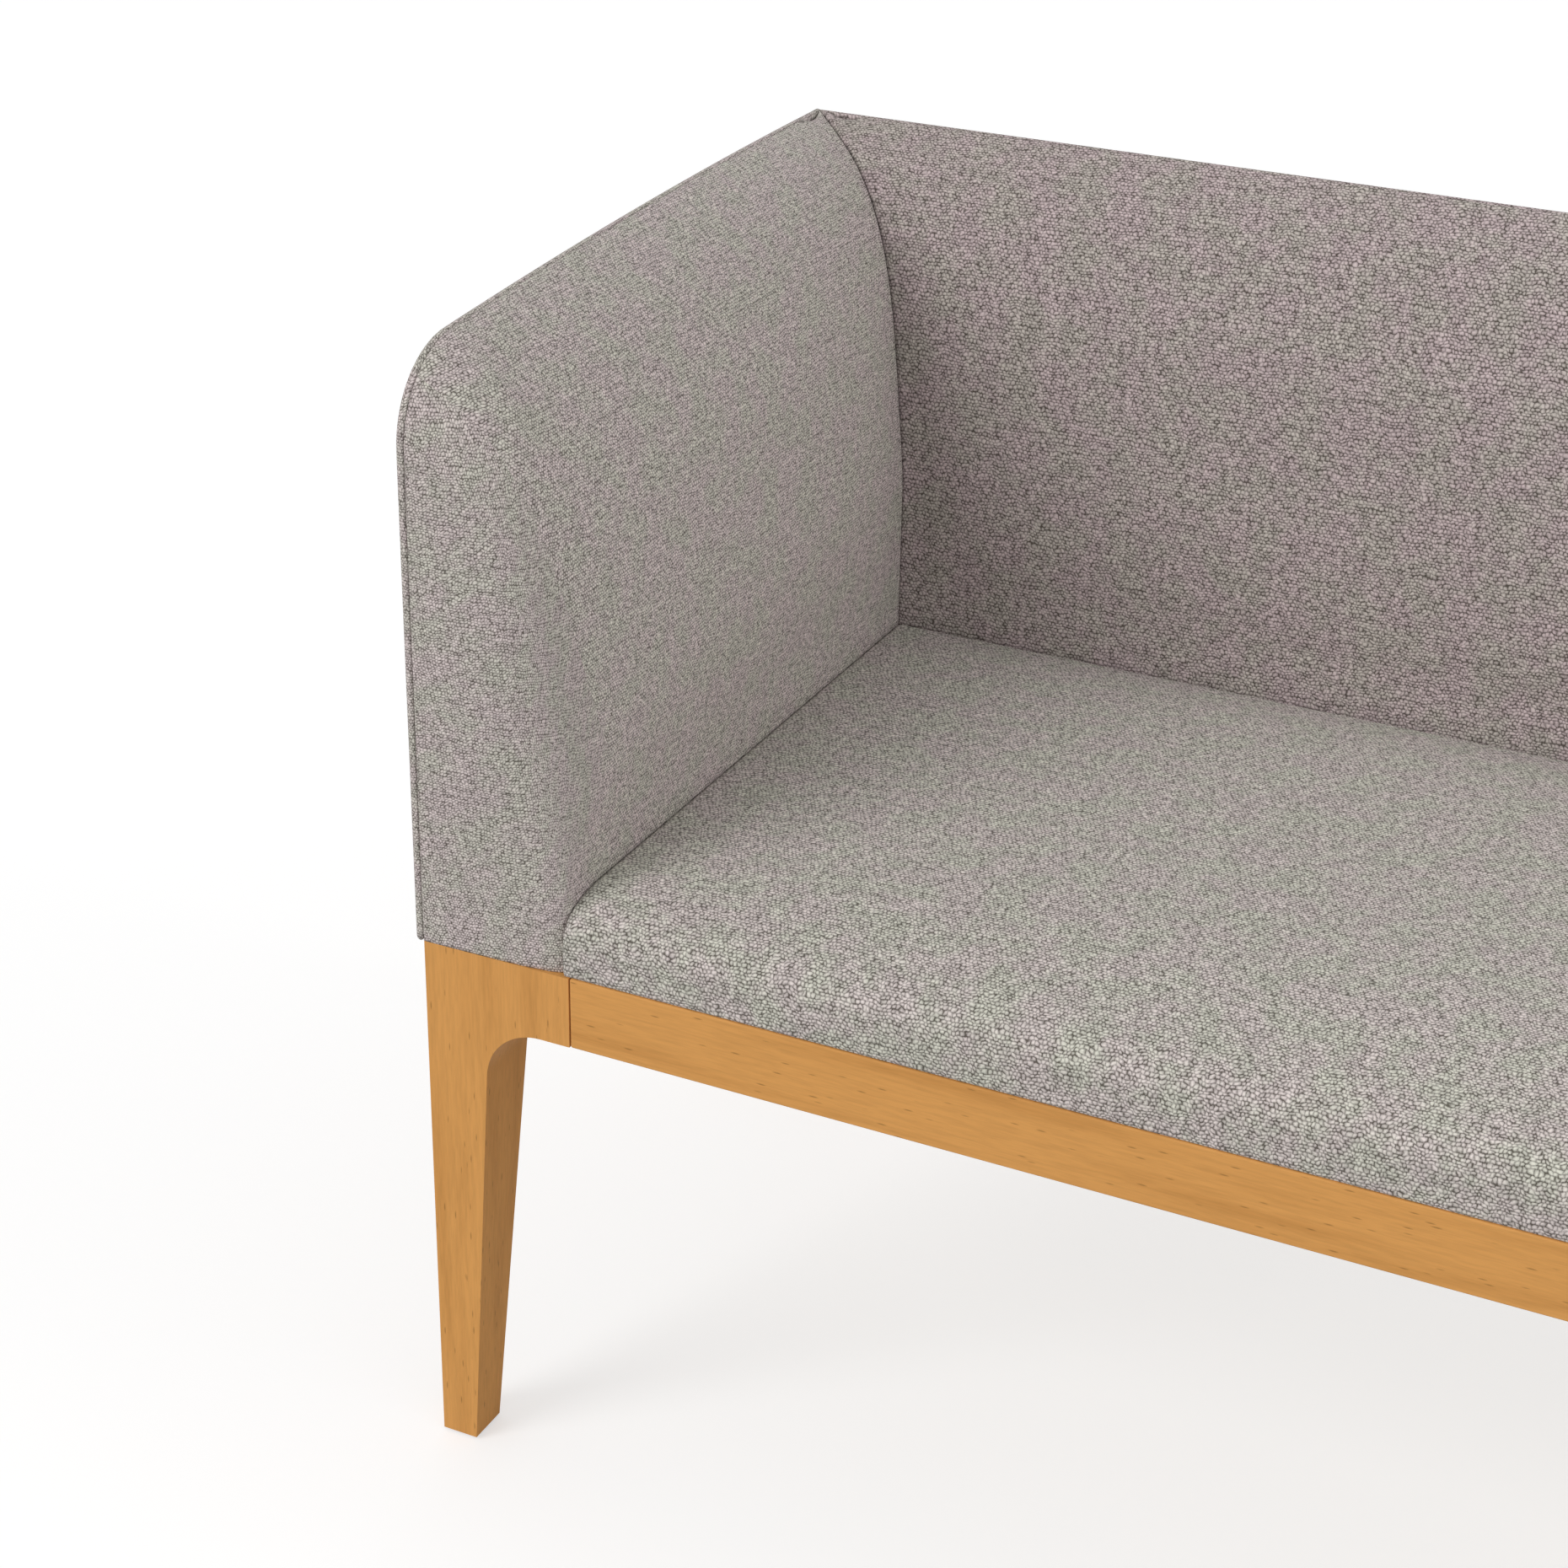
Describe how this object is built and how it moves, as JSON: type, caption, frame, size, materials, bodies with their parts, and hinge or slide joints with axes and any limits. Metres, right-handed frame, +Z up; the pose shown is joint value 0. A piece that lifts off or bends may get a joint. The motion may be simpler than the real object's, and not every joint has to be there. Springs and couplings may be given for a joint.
{
  "type": "corner banquette",
  "caption": "Upholstered corner banquette: seat, padded back and padded side panel meeting at a mitred corner, on a timber base with tapered legs swept into the rails.",
  "frame": {"origin": "on the floor, under the middle of the overall length and depth", "axes": "+X along the front to the sitter's open end (right as seen from the front), +Y to the back, +Z up"},
  "size_m": [1.22, 0.595, 0.828],
  "materials": {
    "show_timber": "satin lacquer, honey tone",
    "frame_timber": "unfinished",
    "plywood": "unfinished plywood",
    "cloth": "woven, two-tone grey",
    "foam": "cut foam",
    "steel": "zinc plated",
    "nylon": "moulded"
  },
  "bodies": {
    "root": {"back_foam": "foam", "back_inner_board": "plywood", "back_inner_cover": "cloth", "back_left_foot_rail": "frame_timber", "back_left_post": "frame_timber", "back_left_top_rail": "frame_timber", "back_middle_post": "frame_timber", "back_outer_board": "plywood", "back_outer_cover": "cloth", "back_right_foot_rail": "frame_timber", "back_right_post": "frame_timber", "back_right_top_rail": "frame_timber", "centre_cross_rail": "frame_timber", "corner_screws": "steel", "front_left_block": "frame_timber", "front_left_leg": "show_timber", "front_rail": "show_timber", "front_right_block": "frame_timber", "front_right_leg": "show_timber", "glides": "nylon", "left_cross_rail": "frame_timber", "left_rail": "show_timber", "panel_screws": "steel", "rear_left_block": "frame_timber", "rear_left_leg": "show_timber", "rear_rail": "show_timber", "rear_right_block": "frame_timber", "rear_right_leg": "show_timber", "right_rail": "show_timber", "seat_board": "plywood", "seat_cover": "cloth", "seat_foam": "foam", "seat_screws": "steel", "side_foam": "foam", "side_foot_rail": "frame_timber", "side_front_post": "frame_timber", "side_inner_board": "plywood", "side_inner_cover": "cloth", "side_outer_board": "plywood", "side_outer_cover": "cloth", "side_rear_post": "frame_timber", "side_top_rail": "frame_timber"}
  },
  "joints": []
}
